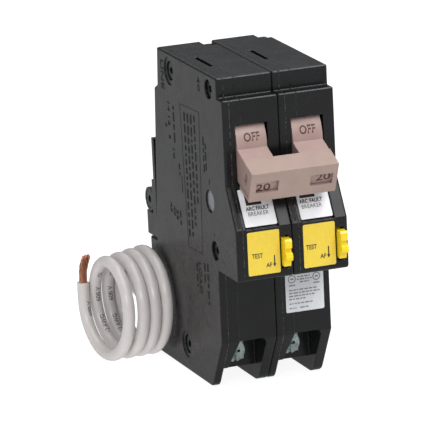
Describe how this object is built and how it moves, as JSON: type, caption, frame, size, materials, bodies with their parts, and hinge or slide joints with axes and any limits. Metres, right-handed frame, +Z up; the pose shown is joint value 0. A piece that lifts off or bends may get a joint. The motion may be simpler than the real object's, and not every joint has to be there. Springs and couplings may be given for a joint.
{
  "type": "circuit breaker",
  "caption": "Plug-on arc-fault circuit breaker: tied tan handles switch two live poles, each pole has a sliding test button, and a coiled white pigtail joins neutral.",
  "frame": {"origin": "bottom centre of the breaker's box at its feet (load end), without the pigtail", "axes": "+X to the right across the poles, +Y to the back where it plugs on, -Y to the handles, +Z up to the line end"},
  "size_m": [0.0614, 0.1037, 0.1056],
  "materials": {
    "black_plastic": "black phenolic moulding, satin",
    "tan_plastic": "pinkish tan moulding, satin",
    "yellow_plastic": "yellow moulding, soft gloss",
    "yellow_label": "printed film",
    "white_label": "printed film",
    "grey_label": "printed film",
    "seal_grey": "sealing compound",
    "white_insulation": "white wire insulation",
    "copper": "bare copper",
    "silver": "silver alloy",
    "zinc_steel": "zinc-plated steel",
    "brown_zinc": "yellowish zinc-plated steel",
    "spring_steel": "spring steel",
    "board_green": "glass-epoxy board",
    "chip_black": "electronic components"
  },
  "bodies": {
    "case": {"calibration_seals": "seal_grey", "copper_strands": "copper", "jaw_clips": "spring_steel", "left_arc_plates": "zinc_steel", "left_bimetal": "spring_steel", "left_board_components": "chip_black", "left_case": "black_plastic", "left_circuit_board": "board_green", "left_clamp_plate": "brown_zinc", "left_cover": "black_plastic", "left_current_sensor": "copper", "left_fixed_contact": "silver", "left_frame": "black_plastic", "left_line_jaws": "copper", "left_load_strap": "copper", "left_magnet_yoke": "zinc_steel", "left_trip_coil": "copper", "name_labels": "white_label", "pigtail_bushing": "black_plastic", "pigtail_coil": "white_insulation", "pigtail_end": "white_insulation", "pigtail_lead": "white_insulation", "rating_label": "grey_label", "right_arc_plates": "zinc_steel", "right_bimetal": "spring_steel", "right_board_components": "chip_black", "right_case": "black_plastic", "right_circuit_board": "board_green", "right_clamp_plate": "brown_zinc", "right_cover": "black_plastic", "right_current_sensor": "copper", "right_fixed_contact": "silver", "right_frame": "black_plastic", "right_line_jaws": "copper", "right_load_strap": "copper", "right_magnet_yoke": "zinc_steel", "right_trip_coil": "copper", "rivets": "zinc_steel", "test_contacts": "spring_steel", "test_labels": "yellow_label"},
    "handles": {"left_handle": "tan_plastic", "right_handle": "tan_plastic", "tie_bar": "tan_plastic"},
    "trip_bar": {"trip_bar": "black_plastic"},
    "left_contact_arm": {"left_contact_arm": "copper", "left_moving_contact": "silver", "left_toggle_spring": "spring_steel"},
    "left_cradle": {"left_cradle": "zinc_steel"},
    "left_armature": {"left_armature": "zinc_steel"},
    "left_trip_plunger": {"left_trip_plunger": "zinc_steel"},
    "left_terminal_screw": {"left_terminal_screw": "zinc_steel"},
    "left_test_button": {"left_test_button": "yellow_plastic"},
    "right_contact_arm": {"right_contact_arm": "copper", "right_moving_contact": "silver", "right_toggle_spring": "spring_steel"},
    "right_cradle": {"right_cradle": "zinc_steel"},
    "right_armature": {"right_armature": "zinc_steel"},
    "right_trip_plunger": {"right_trip_plunger": "zinc_steel"},
    "right_terminal_screw": {"right_terminal_screw": "zinc_steel"},
    "right_test_button": {"right_test_button": "yellow_plastic"}
  },
  "joints": [
    {"name": "handle_throw", "type": "hinge", "parent": "case", "child": "handles", "pos_m": [0, -0.01995, 0.0831], "axis": [-1, 0, 0], "range_deg": [0, 34]},
    {"name": "left_contact_swing", "type": "hinge", "parent": "case", "child": "left_contact_arm", "pos_m": [-0.00715, -0.00745, 0.0616], "axis": [-1, 0, 0], "range_deg": [0, 9.5]},
    {"name": "left_cradle_release", "type": "hinge", "parent": "case", "child": "left_cradle", "pos_m": [-0.01005, 0.00255, 0.05], "axis": [-1, 0, 0], "range_deg": [0, 10]},
    {"name": "left_armature_pull", "type": "hinge", "parent": "case", "child": "left_armature", "pos_m": [-0.00755, 0.02305, 0.066], "axis": [1, 0, 0], "range_deg": [0, 5], "stiffness_Nm_per_rad": 0.002, "springref_deg": -11.46},
    {"name": "left_plunger_travel", "type": "slide", "parent": "case", "child": "left_trip_plunger", "axis": [0, 1, 0], "range_m": [0, 0.002], "stiffness_N_per_m": 60, "springref_m": -0.003},
    {"name": "left_test_press", "type": "slide", "parent": "case", "child": "left_test_button", "axis": [0, 0, -1], "range_m": [0, 0.0012], "stiffness_N_per_m": 300, "springref_m": -0.002},
    {"name": "left_screw_turn", "type": "hinge", "parent": "case", "child": "left_terminal_screw", "pos_m": [-0.01285, -0.01655, 0.0124], "axis": [0, -1, 0], "continuous": true},
    {"name": "right_contact_swing", "type": "hinge", "parent": "case", "child": "right_contact_arm", "pos_m": [0.0119, -0.00745, 0.0616], "axis": [-1, 0, 0], "range_deg": [0, 9.5]},
    {"name": "right_cradle_release", "type": "hinge", "parent": "case", "child": "right_cradle", "pos_m": [0.009, 0.00255, 0.05], "axis": [-1, 0, 0], "range_deg": [0, 10]},
    {"name": "right_armature_pull", "type": "hinge", "parent": "case", "child": "right_armature", "pos_m": [0.0115, 0.02305, 0.066], "axis": [1, 0, 0], "range_deg": [0, 5], "stiffness_Nm_per_rad": 0.002, "springref_deg": -11.46},
    {"name": "right_plunger_travel", "type": "slide", "parent": "case", "child": "right_trip_plunger", "axis": [0, 1, 0], "range_m": [0, 0.002], "stiffness_N_per_m": 60, "springref_m": -0.003},
    {"name": "right_test_press", "type": "slide", "parent": "case", "child": "right_test_button", "axis": [0, 0, -1], "range_m": [0, 0.0012], "stiffness_N_per_m": 300, "springref_m": -0.002},
    {"name": "right_screw_turn", "type": "hinge", "parent": "case", "child": "right_terminal_screw", "pos_m": [0.0062, -0.01655, 0.0124], "axis": [0, -1, 0], "continuous": true},
    {"name": "trip_bar_turn", "type": "hinge", "parent": "case", "child": "trip_bar", "pos_m": [0, 0.02285, 0.036], "axis": [1, 0, 0], "range_deg": [0, 10], "stiffness_Nm_per_rad": 0.002, "springref_deg": -11.46}
  ],
  "couplings": [
    {"joint": "left_contact_swing", "follows": "handle_throw", "ratio": 0.279},
    {"joint": "right_contact_swing", "follows": "handle_throw", "ratio": 0.279}
  ]
}
